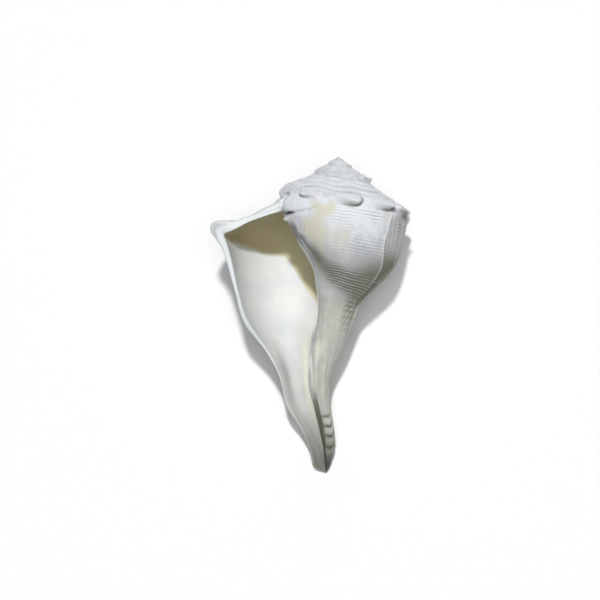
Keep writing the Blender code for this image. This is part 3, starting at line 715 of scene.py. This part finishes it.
def cavity_sheet(columns, outer, corner):
    """Points and masks of the cavity: the outside moved in by the wall, welded to the pillar a whorl earlier.

    outer holds the outside's points by row and column, and corner the columns of it that the weld uses.
    """
    rows = row_marks()
    deg = column_deg(columns)
    end = canal_end(deg - 360)
    fine = np.linspace(0, END, CAVITY_ROWS)
    ease = np.exp(-((fine[:, None] - fine[None, :]) / WALL_EASE) ** 2)
    ease /= ease.sum(axis=1, keepdims=True)
    fine_deg, fine_mark = np.meshgrid(deg, fine)
    _, _, depth, radius = smooth_wall(fine_deg, fine_mark, False)
    line = np.stack([depth, radius], axis=-1)
    way = np.tensordot(ease, np.gradient(line, axis=0), 1)
    way /= np.maximum(np.linalg.norm(way, axis=-1, keepdims=True), 1e-9)
    mix = np.exp(fine_deg / WALL_FADE_DEG)
    wall = mix * curve(fine_mark, WALL_MARKS, WALL_LIP) + (1 - mix) * curve(fine_mark, WALL_MARKS, WALL_INNER)
    inside = line + np.stack([way[..., 1], -way[..., 0]], axis=-1) * wall[..., None]
    inside[8:-12] = np.tensordot(ease, inside, 1)[8:-12]
    below = inside[..., 0] > end[None, :] - 0.5 * wall
    stop = np.where(below.any(axis=0), fine[below.argmax(axis=0)], END)
    at = rows[:, None] / END * stop[None, :]
    k = np.clip((at / fine[1]).astype(int), 0, len(fine) - 2)
    u = at / fine[1] - k
    near, far = (np.take_along_axis(inside, (k + step)[..., None], 0) for step in (0, 1))
    depth, radius = np.moveaxis(near * (1 - u)[..., None] + far * u[..., None], -1, 0)
    _, _, corner_d, corner_r = smooth_wall(deg - 360, np.full(deg.shape, CORNER))
    _, _, last_d, last_r = smooth_wall(deg - 360, np.full(deg.shape, END))
    lead = np.clip(1 - at / WELD_MARKS, 0, 1) ** 2
    tail = np.clip((at / np.maximum(stop, 1e-6) - WELD_FROM) / (1 - WELD_FROM), 0, 1) ** 2
    depth = depth + (corner_d - depth[0]) * lead + (last_d - depth[-1]) * tail
    radius = radius + (corner_r - radius[0]) * lead + (last_r - radius[-1]) * tail
    angle = deg[None, :] + curve(rows, LEAN_MARKS, LEAN_DEG)[:, None] * lean(deg)[None, :]
    points = place(angle, depth, radius) + lip_shift(deg[None, :], at, LIP_UP)
    points += (outer[CORNER_ROW, corner] - points[0])[None] * (lead ** 2)[..., None]
    points += (outer[-1, corner] - points[-1])[None] * (tail ** 2)[..., None]
    mark = np.broadcast_to(rows[:, None], points.shape[:2])
    turn = np.broadcast_to(deg[None, :], points.shape[:2])
    brim = curve(turn, THROAT_ANGLES, THROAT_MARKS)
    masks = dict.fromkeys(OUTSIDE_ONLY, np.zeros(mark.shape))
    patch = rise(mark, 10.8, 12) * between(turn, -68, -52, -32, -20)
    patch = patch * (1 - rise(mark, 12.2, 12.6) * rise(turn, -50, -42))
    # Grey toward the canal's end, partly painted shade
    masks["far"] = np.interp(depth, FAR_DEPTHS, FAR_SHARES) + 0.17 * patch
    # A grey patch on the canal's floor beside the lip
    masks["grey_patch"] = 0.6 * hump(turn, -11, 7.5) * between(mark, 8.8, 9.8, 10.2, 11.2)
    masks["warm"] = rise(mark, 11.9, 12.7) * between(turn, -70, -46, -24, -14)
    masks["smooth"] = masks["inner"] = np.ones(mark.shape)
    # Painted shade of the throat, measured from where its tan ends
    masks["shade"] = np.clip(brim - mark, -1, 1)
    masks["rim"] = rise(turn, -9, 0) * 0.6 * fall(mark, 7, 8.5)
    masks["turn"] = turn / 360
    masks["mark"] = mark
    return points, masks


def quads(index):
    """Faces of a grid of vertex numbers, going round each cell from its first corner along the row."""
    return np.stack([index[:-1, :-1], index[:-1, 1:], index[1:, 1:], index[1:, :-1]], axis=-1).reshape(-1, 4)


def split_faces(faces):
    """Quads, and triangles from the quads in which one corner follows itself; thinner ones are dropped."""
    same = faces == np.roll(faces, 1, axis=1)
    count = same.sum(axis=1)
    thin = faces[count == 1]
    triangles = thin[~same[count == 1]].reshape(-1, 3)
    whole = [len(set(face)) == 3 for face in triangles.tolist()]
    return faces[count == 0], triangles[whole]


def shell_surface(look):
    """Points in mm, quads, other faces and masks of the whole closed shell."""
    outer, masks = outer_sheet(look)
    rows, columns = outer.shape[:2]
    lip = columns - 1
    index = np.arange(rows * columns).reshape(rows, columns)
    tip = rows * columns
    apex = tip + 1
    index[0, WHORL:] = index[SUTURE_ROW, :-WHORL]
    index[-1, lip - WHORL:] = tip
    inward = np.concatenate([np.arange(-CAVITY, -CAVITY_FINE, 2), np.arange(-CAVITY_FINE, 1)])
    pillar = lip - WHORL + inward

    deep, deep_masks = cavity_sheet(inward, outer, pillar)
    start = apex + 1
    hollow = start + np.arange(deep.shape[0] * deep.shape[1]).reshape(deep.shape[:2])
    hollow[0] = index[CORNER_ROW, pillar]
    hollow[-1] = index[-1, pillar]

    # The lip's rim: rounded between the outside and the cavity, bulging to the front
    parts = CORNER_ROW - SUTURE_ROW
    share = np.linspace(0, 1, parts + 1)[None, :, None]
    a = outer[:, lip][:, None]
    b = deep[:, -1][:, None]
    wide = np.linalg.norm(a - b, axis=-1, keepdims=True)
    front = np.array([0, 0, 1])
    marks = row_marks()
    full = wide * (rise(marks, 0, 1.3) * (0.05 + 0.19 * rise(marks, 2.4, 3.4)))[:, None, None]
    rim = a * (1 - share) + b * share
    seat = outer[SUTURE_ROW:CORNER_ROW + 1, lip - WHORL][None] - rim[:1]
    strands = 0.35 * np.cos(6 * np.pi * share) * between(marks, 0, 0.3, 1.2, 2.2)[:, None, None]
    rim = rim + seat * fall(marks, 0, 1.5)[:, None, None]
    rim = rim + front * (full * np.sin(np.pi * share) ** 0.4 - strands * np.sin(np.pi * share))
    ring = start + hollow.size + np.arange(rows * (parts + 1)).reshape(rows, parts + 1)
    ring[:, 0] = index[:, lip]
    ring[:, -1] = hollow[:, -1]
    ring[0] = index[SUTURE_ROW:CORNER_ROW + 1, lip - WHORL]
    ring[-1] = tip
    across = share[..., 0]
    rim_masks = {}
    for name in masks:
        outside = masks[name][:, lip][:, None]
        inside = deep_masks[name][:, -1][:, None]
        rim_masks[name] = outside * (1 - across) + inside * across
    rim_masks["rim"] = np.sin(np.pi * across) ** 0.5 * (1 - 0.85 * rise(marks, 7, 8.5))[:, None]
    rim_masks["light"] = (1 - 0.8 * rise(marks, 2.2, 3))[:, None] * np.ones(across.shape)
    # Painted shade on the rim: a dark line along its outer edge, a grey band near its upper end and grey in
    # the strands' grooves
    grey = 0.5 * hump(across, 0, 0.09) * fall(marks, 7, 9)[:, None]
    grey = grey + 0.45 * hump(across, 0.28, 0.16) * between(marks, 2.2, 2.8, 3.3, 3.7)[:, None]
    rim_masks["far"] = rim_masks["far"] + grey + np.maximum(strands[..., 0], 0)
    rim_masks["thread"] = np.zeros((rows, parts + 1))
    rim_masks["shade"] = np.full((rows, parts + 1), -1)
    rim_masks["inner"] = np.clip(across * 2, 0, 1) * np.ones((rows, 1))

    ends = np.array([(0, -LENGTH, -CANAL_BACK), (0, 0, 0)])
    points = np.concatenate([outer.reshape(-1, 3), ends, deep.reshape(-1, 3), rim.reshape(-1, 3)])
    values = {}
    for name in masks:
        tips = [masks[name][-1, lip], masks[name][2, 0]]
        sheets = (masks[name].ravel(), tips, deep_masks[name].ravel(), rim_masks[name].ravel())
        values[name] = np.concatenate(sheets)

    first = lip - WHORL
    faces = [quads(index[:SUTURE_ROW + 1, :first + 1]), quads(index[:, first:])]
    faces.append(quads(index[CORNER_ROW:][:, pillar]))
    faces.append(quads(hollow)[:, ::-1])
    faces.append(quads(ring))
    squares, triangles = split_faces(np.concatenate(faces))
    cap = np.concatenate([hollow[:, 0], index[CORNER_ROW + 1:-1, pillar[0]][::-1]])[::-1]
    loop = np.concatenate([index[0, :WHORL + 1], index[1:SUTURE_ROW, 0][::-1]])
    fan = np.stack([np.full(len(loop), apex), np.roll(loop, -1), loop], axis=1)
    return points, squares, np.concatenate([triangles, fan]), cap, values


def drop_loose(points, faces, values):
    """Points and values that the faces use, with the faces renumbered."""
    used = np.unique(np.concatenate([part.ravel() for part in faces]))
    new = np.zeros(len(points), int)
    new[used] = np.arange(len(used))
    return points[used], [new[part] for part in faces], {name: value[used] for name, value in values.items()}


def rest_turn():
    """Rotation from shell coordinates to the resting pose."""
    return Matrix.Rotation(np.radians(ROLL_DEG), 3, 'Y') @ Matrix.Rotation(np.radians(RECLINE_DEG), 3, 'X')


def rest(points):
    """Metres in the resting pose, from shell coordinates in mm."""
    return (np.asarray(points) @ np.array(rest_turn()).T + np.array(REST_SHIFT)) * MM


class Value:
    """A number that varies over a surface. Arithmetic on it adds Math nodes to its shader."""

    def __init__(self, shader, socket):
        self.shader = shader
        self.socket = socket

    def math(self, operation, *inputs):
        return self.shader.node("ShaderNodeMath", {"operation": operation}, dict(enumerate(inputs)))

    def __add__(self, other):
        return self.math("ADD", self, other)

    def __radd__(self, other):
        return self.math("ADD", other, self)

    def __sub__(self, other):
        return self.math("SUBTRACT", self, other)

    def __rsub__(self, other):
        return self.math("SUBTRACT", other, self)

    def __mul__(self, other):
        return self.math("MULTIPLY", self, other)

    def cos(self):
        return self.math("COSINE", self)

    def limit(self, low, high):
        """Smooth step from 0 at low to 1 at high."""
        settings = {"interpolation_type": "SMOOTHSTEP"}
        return self.shader.node("ShaderNodeMapRange", settings, {0: self, 1: low, 2: high, 3: 0.0, 4: 1.0})


class Finish:
    """A material under construction: one method adds any node, and a few name the common ones."""

    def __init__(self, name):
        self.material = bpy.data.materials.new(name)
        self.material.use_nodes = True
        self.tree = self.material.node_tree
        self.surface = self.tree.nodes["Principled BSDF"]

    def node(self, kind, settings=None, inputs=None, output=0):
        """Adds a node, sets its settings, then its sockets from values or links, and returns one output."""
        made = self.tree.nodes.new(kind)
        for name, value in (settings or {}).items():
            setattr(made, name, value)
        self.feed(made, inputs or {})
        return Value(self, made.outputs[output])

    def feed(self, node, inputs):
        """Sets sockets of a node by name or number."""
        for name, value in inputs.items():
            if isinstance(value, Value):
                self.tree.links.new(value.socket, node.inputs[name])
            else:
                node.inputs[name].default_value = value

    def mask(self, name):
        return self.node("ShaderNodeAttribute", {"attribute_name": name}, output="Fac")

    def noise(self, place, scale, detail, roughness, distortion=0.0):
        inputs = {"Vector": place, "Scale": scale, "Detail": detail, "Roughness": roughness}
        inputs["Distortion"] = distortion
        return self.node("ShaderNodeTexNoise", {"noise_dimensions": "3D"}, inputs, "Fac")

    def layers(self, colour, *over):
        """Colour with others laid over it in turn, each given as its share and its colour."""
        for share, added in over:
            colour = self.node("ShaderNodeMix", {"data_type": "RGBA"}, {0: share, 6: colour, 7: added}, 2)
        return colour


def shell_finish(look):
    """Chalky outside with threads, growth lines, cream patches and a discolouring, painted shade in its
    hollows and undersides and painted highlights on its tops, and a porcelain inside whose tan throat is
    painted shade.
    """
    f = Finish("shell_wall")
    spot = f.node("ShaderNodeTexCoord", output="Object")
    inner, rim, smooth, thread, turn, mark, cord, band, bead, light, sunk, shade = (
        f.mask(name) for name in ("inner", "rim", "smooth", "thread", "turn", "mark", "cord", "band", "bead",
                                  "light", "sunk", "shade"))
    strip = f.node("ShaderNodeCombineXYZ", inputs={0: turn * 360.0, 1: mark * 0.9, 2: 0.0})
    cloud = f.noise(spot, 60.0, 3.0, 0.6)
    mottle = f.noise(spot, 260.0, 3.0, 0.6)
    grain = f.noise(spot, 1500.0, 2.0, 0.6)
    lines = f.noise(strip, 0.55, 4.0, 0.65, 0.3)
    fine_lines = f.noise(strip, 2.2, 2.0, 0.6, 0.4)
    jitter = (f.noise(spot, 300.0, 2.0, 0.6) - 0.5) * 2.0

    wave = 0.5 + ((cord + (fine_lines - 0.5) * 0.25) * (2 * np.pi)).cos() * 0.5
    across = 0.5 + ((turn * (360.0 / BEAD_DEG) + cord * 0.25 - jitter * 0.4) * (2 * np.pi)).cos() * 0.5
    dots = (0.5 + ((cord + jitter) * np.pi).cos() * 0.5) * across
    # Painted shade between the threads and in the gaps of the cords and beads; the cords' tops get painted
    # highlights below
    valley = (1 - wave).limit(0.45, 1.0) * thread
    band_gap = (1 - wave).limit(0.35, 0.85) * band
    bead_gap = (1 - dots).limit(0.35, 0.90) * bead
    cream = (f.mask("cream") + (cloud - 0.5) * 0.7 + (mottle - 0.5) * 0.5).limit(0.10, 1.05)
    stain_and_shade = (f.mask("stain_and_shade") * (0.45 + mottle * 1.1)).limit(0.1, 1.0)
    olive = (f.mask("olive") * (0.6 + mottle * 0.8)).limit(0.05, 0.9)

    # The outside's colour. Many layers are painted light: shade in the valleys, hollows, undersides, groove
    # and gaps, and highlights on the tops, the cords and the light lines
    chalk = f.layers(
        look.outside,
        (mottle.limit(0.35, 0.7), look.outside_light),
        (cloud.limit(0.45, 0.75) * 0.35, look.cream),
        (f.mask("worn_and_lit") * 0.8, look.worn_and_lit),
        (f.mask("pillar") * (0.35 + lines * 0.5), look.pillar),
        (valley * (0.5 + lines * 0.7), look.valley),
        (lines.limit(0.56, 0.72) * (1 - smooth * 0.7) * 0.2, look.valley),
        (cream * 0.9, look.cream),
        (stain_and_shade * 0.75, look.stain_and_shade),
        (f.mask("under") * (0.35 + mottle * 0.3), look.stain_and_shade),
        (wave.limit(0.5, 1.0) * band * 0.28, look.outside_light),
        (band_gap * (0.85 + mottle * 0.8), look.stain_and_shade),
        (bead_gap * (0.2 + mottle * 0.9), look.stain_and_shade),
        # Painted shade in the hollows and painted highlights on the rises, from how low each point lies
        (sunk.limit(0.08, 0.9) * 0.75, look.stain_and_shade),
        ((0 - sunk).limit(0.15, 1.0) * 0.7, look.worn_and_lit),
        (olive * 0.9, look.olive),
        (f.mask("dark") * (0.5 + mottle * 0.8), look.dark),
        (light * 0.75, look.edge_white),
    )
    # The inside's colour: clouds, a grey patch by the lip, a cream strip, and the throat's painted shade with
    # a cream line at its edge
    glaze = f.layers(
        look.inside,
        (cloud.limit(0.3, 0.7), look.inside_cool),
        (f.mask("grey_patch") * (0.2 + fine_lines), look.far),
        (f.mask("warm") * 0.8, look.inside_warm),
        # Painted shade in the throat: a cream line along the shadow's edge, then the tan of the shadow
        (shade.limit(-0.22, 0.0) * 0.6, look.cream),
        (shade.limit(-0.08, 0.12), f.layers(look.throat, ((0 - turn).limit(0.13, 0.20), look.throat_deep))),
    )
    colour = f.layers(
        chalk,
        (inner, glaze),
        (rim * 0.85, f.layers(look.lip, (light, look.lip_white))),
        (f.mask("far") * (0.85 + cloud * 0.3) * (1 - (1 - inner) * (1 - rim)), look.far),
    )

    outside_bump = wave * thread * 0.16 + lines * 0.14 * (1 - smooth * 0.6) + fine_lines * 0.05 + grain * 0.05
    outside_bump = outside_bump + mottle * 0.12 + wave * band * 0.3 + dots * bead * 0.4
    inside_bump = cloud * 0.25 + lines * 0.03
    height = outside_bump * (1 - inner) + inside_bump * inner
    inputs = {"Strength": 1.0, "Distance": MM, "Height": height}
    bump = f.node("ShaderNodeBump", inputs=inputs, output="Normal")
    rough = 0.62 - inner * 0.17 - smooth * (1 - inner) * 0.10 + mottle * 0.08
    f.feed(f.surface, {"Base Color": colour, "Roughness": rough, "Normal": bump, "Metallic": 0.0})
    f.feed(f.surface, {"Specular IOR Level": 0.32, "Subsurface Weight": 0.0})
    return f.material


def floor_finish(look):
    """Plain pale floor."""
    f = Finish("pale_floor")
    f.feed(f.surface, {"Base Color": look.floor, "Roughness": 0.9, "Specular IOR Level": 0.1})
    return f.material


def number(name, description, value, **kind):
    """A number property."""
    return FloatProperty(name=name, description=description, default=value, **kind)


def tint(name, description, value):
    """A colour property with an alpha, ready for a colour socket."""
    limits = {"min": 0.0, "max": 1.0}
    return FloatVectorProperty(name=name, description=description, default=value + (1.0,), size=4,
                               subtype='COLOR', **limits)


class ShellLook(bpy.types.PropertyGroup):
    """Sizes and colours of the shell's surface."""

    thread: number("Thread height", "Height of the spiral threads, in mm", 0.14, unit='NONE')
    cord: number("Cord height", "Height of the cords round the base, in mm", 0.5, unit='NONE')
    growth: number("Growth lines", "Height of the growth lines, in mm", 0.09, unit='NONE')
    edge: number("Inner lip", "Height of the inner lip's raised edge, in mm", 0.55, unit='NONE')
    outside: tint("Outside", "Chalky outside", (0.56, 0.58, 0.62))
    outside_light: tint("Outside, light", "Lighter mottling of the outside", (0.70, 0.71, 0.74))
    # Colour of painted shade between the threads, and of the growth lines
    valley: tint("Valleys", "Between the threads and in the growth lines", (0.36, 0.37, 0.38))
    # Colour of painted shade in hollows, the slit, the notch and the pads' gaps, and of the darker tip
    dark: tint("Dark", "Darkening in the hollows and on the tip", (0.04, 0.04, 0.04))
    cream: tint("Cream", "Warm patches", (0.62, 0.60, 0.47))
    # White of wear, laid as painted light on the shoulder, the ramp, the knobs' tops and the wall by the
    # canal
    worn_and_lit: tint("Worn", "White of the worn shoulder", (0.82, 0.84, 0.87))
    pillar: tint("Pillar", "Warm grey of the pillar", (0.38, 0.37, 0.29))
    # Colour of a grey-olive discolouring, and of painted shade in hollows, on undersides, between cords and
    # beads and along shaded edges
    stain_and_shade: tint("Stain", "Dull stain beside the inner lip and round the base", (0.16, 0.16, 0.12))
    # Olive-tinted painted shadow in the groove and in the slit under the lap
    olive: tint("Olive", "Groove beside the inner lip", (0.13, 0.13, 0.08))
    inside: tint("Inside", "Porcelain inside", (0.83, 0.84, 0.82))
    inside_cool: tint("Inside, cool", "Cooler clouds of the inside", (0.74, 0.76, 0.78))
    # Grey of the inside toward the canal's end, partly painted shade; the lip's painted shade uses it too
    far: tint("Inside, far", "Greyed inside at the canal's end", (0.16, 0.16, 0.13))
    # Tan of the throat's painted shade
    throat: tint("Throat", "Tan deep inside", (0.55, 0.48, 0.31))
    throat_deep: tint("Throat, deep", "Greener tan further in", (0.70, 0.67, 0.47))
    inside_warm: tint("Inside, warm", "Cream strip along the canal", (0.90, 0.89, 0.74))
    lip: tint("Lip", "Bluish lip", (0.62, 0.67, 0.68))
    lip_white: tint("Lip, top", "Whiter top of the lip", (0.87, 0.91, 0.92))
    # Colour of the light lines and of the painted highlights
    edge_white: tint("Light lines", "Light lines of the inner lip and the growth steps", (0.84, 0.84, 0.78))


class StageLook(bpy.types.PropertyGroup):
    """Floor, lights and camera."""

    floor: tint("Floor", "Colour of the floor", (0.87, 0.87, 0.87))
    key: number("Key light", "Strength of the key light", 2.2, unit='NONE')
    front: number("Front light", "Strength of the soft light beside the camera", 0.95, unit='NONE')
    soft: number("Key size", "How wide the key light looks", 0.07, subtype='ANGLE', unit='ROTATION')
    fill: number("Fill light", "Strength of the light from all sides", 0.17, unit='NONE')
    lens: number("Lens", "Focal length of the camera, in mm", 200.0, unit='NONE')


class OBJECT_OT_sea_shell(bpy.types.Operator):
    """Build the sea shell with its finish"""

    bl_idname = "object.sea_shell_add"
    bl_label = "Sea shell"

    def execute(self, context):
        look = context.scene.shell_look
        points, squares, triangles, cap, values = shell_surface(look)
        points, parts, values = drop_loose(points, [squares, triangles, cap], values)
        squares, triangles, cap = parts
        a, b, c = (points[squares[:, n]] for n in range(3))
        d = points[squares[:, 3]]
        volume = np.einsum("ij,ij->i", a, np.cross(b, c) + np.cross(c, d)).sum() / 6.0
        faces = squares.tolist() + triangles.tolist() + [cap.tolist()]
        if volume < 0:
            faces = [face[::-1] for face in faces]
        mesh = bpy.data.meshes.new("shell_fine")
        mesh.from_pydata(rest(points), [], faces)
        for name, value in values.items():
            held = mesh.attributes.new(name, 'FLOAT', 'POINT')
            held.data.foreach_set("value", np.ascontiguousarray(value, dtype=np.float32))
        if mesh.validate():
            raise RuntimeError("the shell's surface has faces that can't be built")
        mesh.shade_smooth()
        mesh.update()
        shell = bpy.data.objects.new("shell_fine", mesh)
        context.scene.collection.objects.link(shell)
        mesh.materials.append(shell_finish(look))
        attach(shell, "root")
        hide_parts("shell")
        return {'FINISHED'}


class SCENE_OT_shell_stage(bpy.types.Operator):
    """Add the floor, the lights and the camera"""

    bl_idname = "scene.shell_stage_add"
    bl_label = "Stage"

    def execute(self, context):
        scene = context.scene
        if "shell_fine" not in bpy.data.objects:
            raise RuntimeError("the stage is set round the shell, so the shell is built first")
        look = scene.shell_stage
        side = FLOOR_HALF
        mesh = bpy.data.meshes.new("floor")
        corners = [(-side, -side, 0), (side, -side, 0), (side, side, 0), (-side, side, 0)]
        mesh.from_pydata(corners, [], [(0, 1, 2, 3)])
        mesh.materials.append(floor_finish(look))
        floor = bpy.data.objects.new("floor", mesh)
        scene.collection.objects.link(floor)

        turn = rest_turn().to_4x4()
        lights = (("key", look.key, look.soft, KEY_FROM), ("front", look.front, FRONT_SPREAD, FRONT_FROM))
        for name, strength, spread, toward in lights:
            light = bpy.data.lights.new(name, 'SUN')
            light.energy = strength
            light.angle = spread
            lamp = bpy.data.objects.new(name, light)
            lamp.rotation_mode = 'QUATERNION'
            lamp.rotation_quaternion = (turn @ Vector(toward)).to_track_quat('Z', 'Y')
            scene.collection.objects.link(lamp)
        world = bpy.data.worlds.new("soft_light")
        world.use_nodes = True
        back = world.node_tree.nodes["Background"]
        back.inputs["Color"].default_value = (0.97, 0.985, 1.0, 1.0)
        back.inputs["Strength"].default_value = look.fill
        scene.world = world

        scene.view_settings.view_transform = 'Standard'
        camera = bpy.data.cameras.new("camera")
        camera.lens = look.lens
        camera.sensor_width = SENSOR_WIDTH
        camera.clip_start = 0.05
        camera.clip_end = 50.0
        eye = bpy.data.objects.new("camera", camera)
        scene.collection.objects.link(eye)
        scene.camera = eye
        aim = rest([FRAME_CENTRE])[0]
        away = FRAME_WIDTH * MM * look.lens / SENSOR_WIDTH
        spin = turn @ Matrix.Rotation(np.radians(FRAME_TILT_DEG), 4, 'Z')
        eye.matrix_world = Matrix.Translation(Vector(aim)) @ spin @ Matrix.Translation((0.0, 0.0, away))
        return {'FINISHED'}


class VIEW3D_PT_sea_shell(bpy.types.Panel):
    """Buttons and settings in the sidebar"""

    bl_label = "Sea shell"
    bl_space_type = 'VIEW_3D'
    bl_region_type = 'UI'
    bl_category = "Shell"

    def draw(self, context):
        for group, button in ((context.scene.shell_look, "object.sea_shell_add"),
                              (context.scene.shell_stage, "scene.shell_stage_add")):
            column = self.layout.column()
            column.operator(button)
            for name in group.__annotations__:
                column.prop(group, name)


CLASSES = (ShellLook, StageLook, OBJECT_OT_sea_shell, SCENE_OT_shell_stage, VIEW3D_PT_sea_shell)


def register():
    for made in CLASSES:
        bpy.utils.register_class(made)
    bpy.types.Scene.shell_look = PointerProperty(type=ShellLook)
    bpy.types.Scene.shell_stage = PointerProperty(type=StageLook)


def unregister():
    del bpy.types.Scene.shell_stage
    del bpy.types.Scene.shell_look
    for made in reversed(CLASSES):
        bpy.utils.unregister_class(made)


def main():
    """Registers the classes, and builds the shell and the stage."""
    register()
    bpy.ops.object.sea_shell_add()
    bpy.ops.scene.shell_stage_add()


if __name__ == "__main__":
    main()
